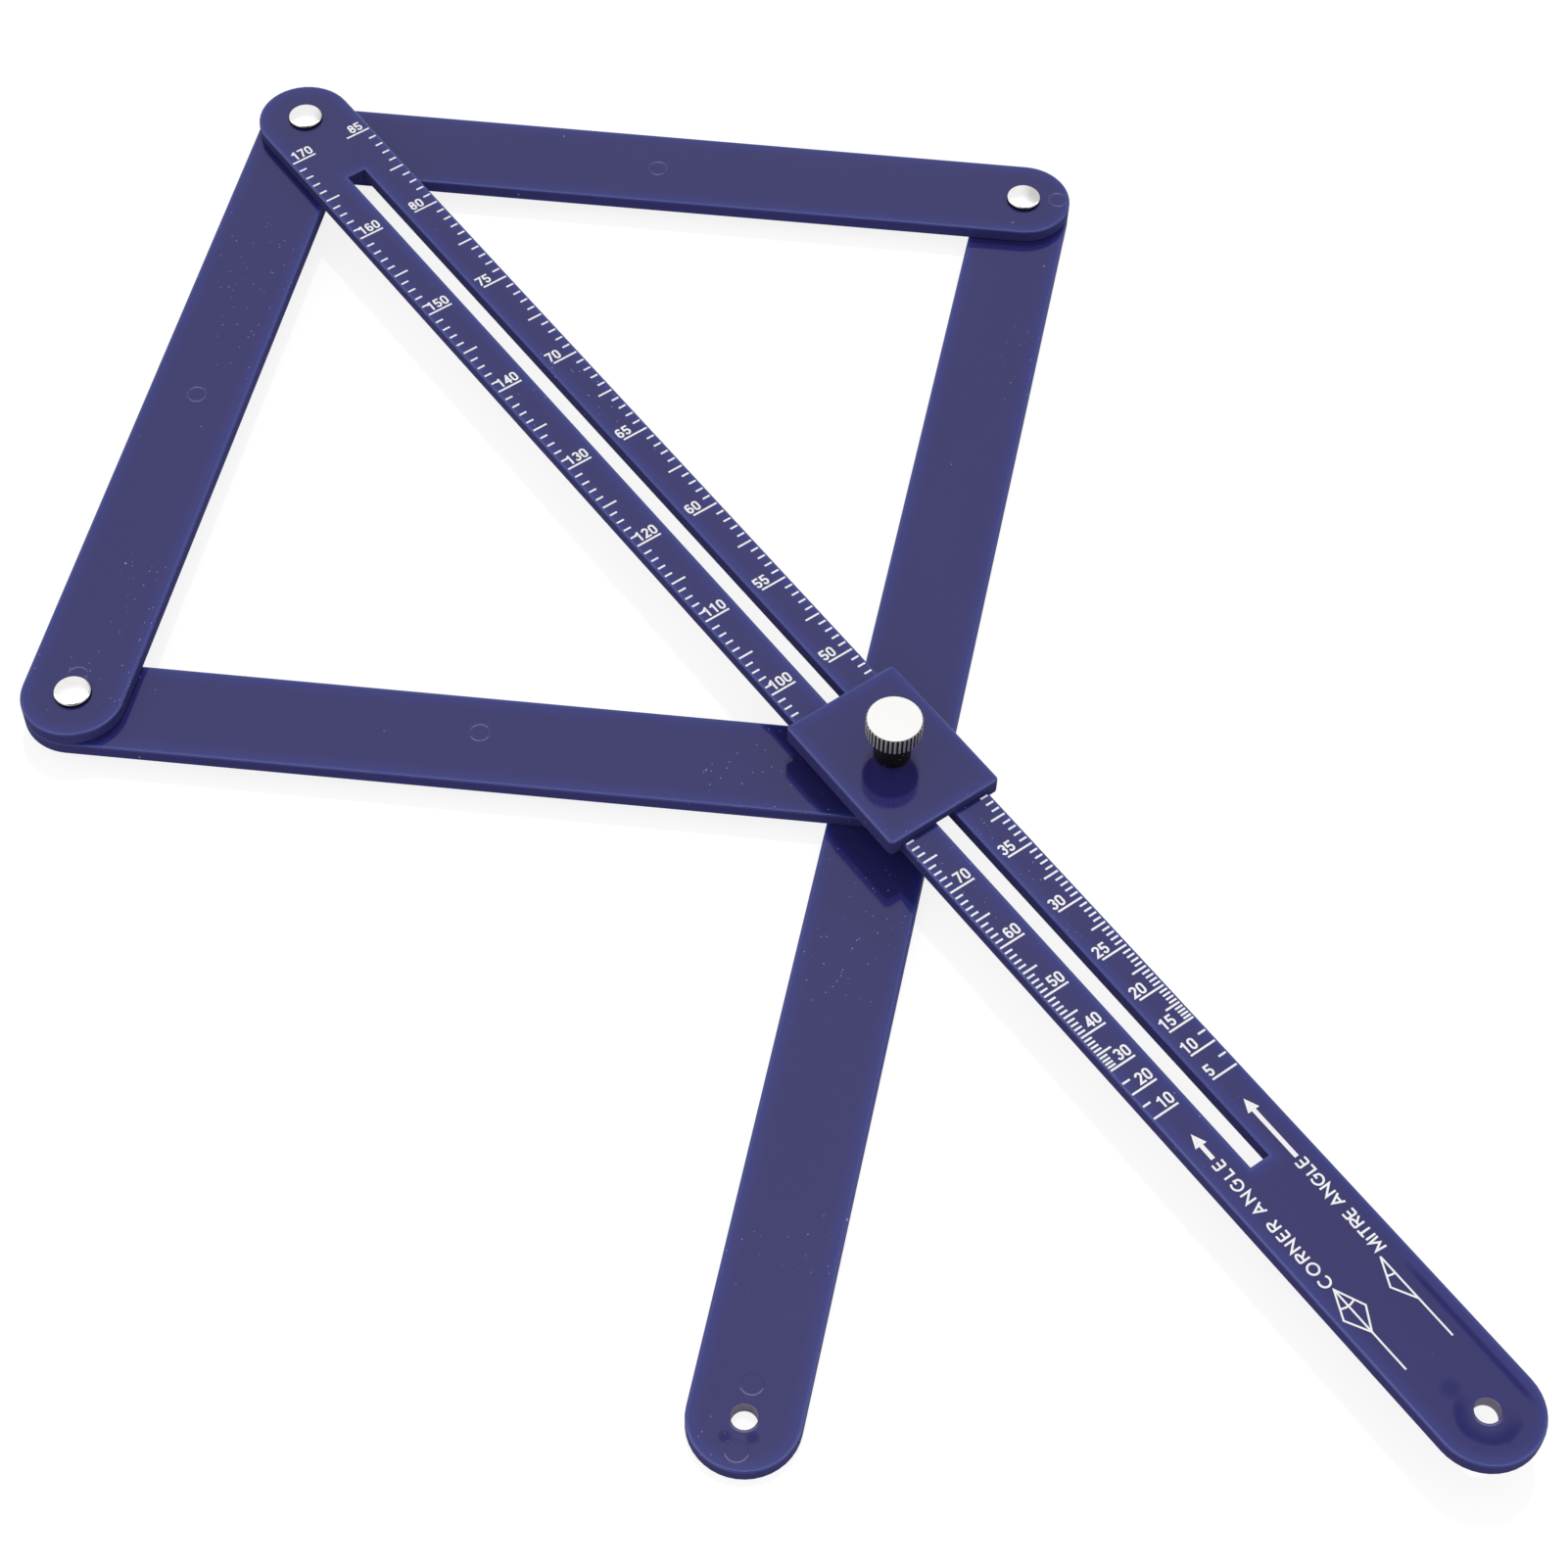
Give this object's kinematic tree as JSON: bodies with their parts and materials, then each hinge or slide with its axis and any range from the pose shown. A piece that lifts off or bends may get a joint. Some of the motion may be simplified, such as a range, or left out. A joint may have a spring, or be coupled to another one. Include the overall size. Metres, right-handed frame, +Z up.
{
  "type": "angle finder",
  "caption": "Flat linkage angle finder: a rhombus of hinged plastic bars, bisected by a slotted scale ruler with a clamp slider and a knurled thumb screw.",
  "frame": {"origin": "middle of the ruler's length, on its centre line, at the level of the surface that the tool lies on", "axes": "+X along the ruler from the apex rivet to the handle, +Y towards the right leg's side pivot, +Z up from the bench through the stack of bars"},
  "size_m": [0.4004, 0.2584, 0.0254],
  "materials": {
    "bar_plastic": "moulded navy blue plastic, semi-gloss",
    "rivet_nickel": "polished nickel plate",
    "screw_nickel": "turned and knurled, nickel plated",
    "plain_steel": "zinc-plated steel",
    "scale_ink": "white printed ink"
  },
  "bodies": {
    "ruler": {"ruler": "bar_plastic", "apex_rivet_post": "rivet_nickel", "apex_rivet_tube": "rivet_nickel"},
    "right_leg": {"right_leg": "bar_plastic", "right_rivet_post": "rivet_nickel", "right_rivet_tube": "rivet_nickel"},
    "left_leg": {"left_leg": "bar_plastic", "left_rivet_post": "rivet_nickel", "left_rivet_tube": "rivet_nickel"},
    "short_link": {"short_link": "bar_plastic", "spacer_bush": "plain_steel"},
    "long_arm": {"long_arm": "bar_plastic", "clamp_nut": "plain_steel"},
    "slider": {"slider": "bar_plastic"},
    "thumb_screw": {"thumb_screw": "screw_nickel"}
  },
  "joints": [
    {"name": "corner_opening", "type": "hinge", "parent": "ruler", "child": "right_leg", "pos_m": [-0.19, 0, 0.0046], "axis": [0, 0, 1], "range_deg": [-42, 37]},
    {"name": "left_leg_swing", "type": "hinge", "parent": "ruler", "child": "left_leg", "pos_m": [-0.19, 0, 0.0077], "axis": [0, 0, 1], "range_deg": [-37, 42]},
    {"name": "long_arm_swing", "type": "hinge", "parent": "right_leg", "child": "long_arm", "pos_m": [-0.08294, 0.1189, 0.0015], "axis": [0, 0, 1], "range_deg": [-74, 84]},
    {"name": "short_link_swing", "type": "hinge", "parent": "left_leg", "child": "short_link", "pos_m": [-0.08294, -0.1189, 0.0046], "axis": [0, 0, 1], "range_deg": [-84, 74]},
    {"name": "slider_pivot", "type": "hinge", "parent": "long_arm", "child": "slider", "pos_m": [0.02412, 0, 0.0123], "axis": [0, 0, 1], "range_deg": [-42, 37]},
    {"name": "thumb_screw_turn", "type": "hinge", "parent": "slider", "child": "thumb_screw", "pos_m": [0.02412, 0, 0.0139], "axis": [0, 0, 1], "range_deg": [0, 360]}
  ],
  "couplings": [
    {"joint": "left_leg_swing", "follows": "corner_opening", "ratio": -1},
    {"joint": "long_arm_swing", "follows": "corner_opening", "ratio": -2},
    {"joint": "short_link_swing", "follows": "corner_opening", "ratio": 2},
    {"joint": "slider_pivot", "follows": "corner_opening", "ratio": 1}
  ]
}
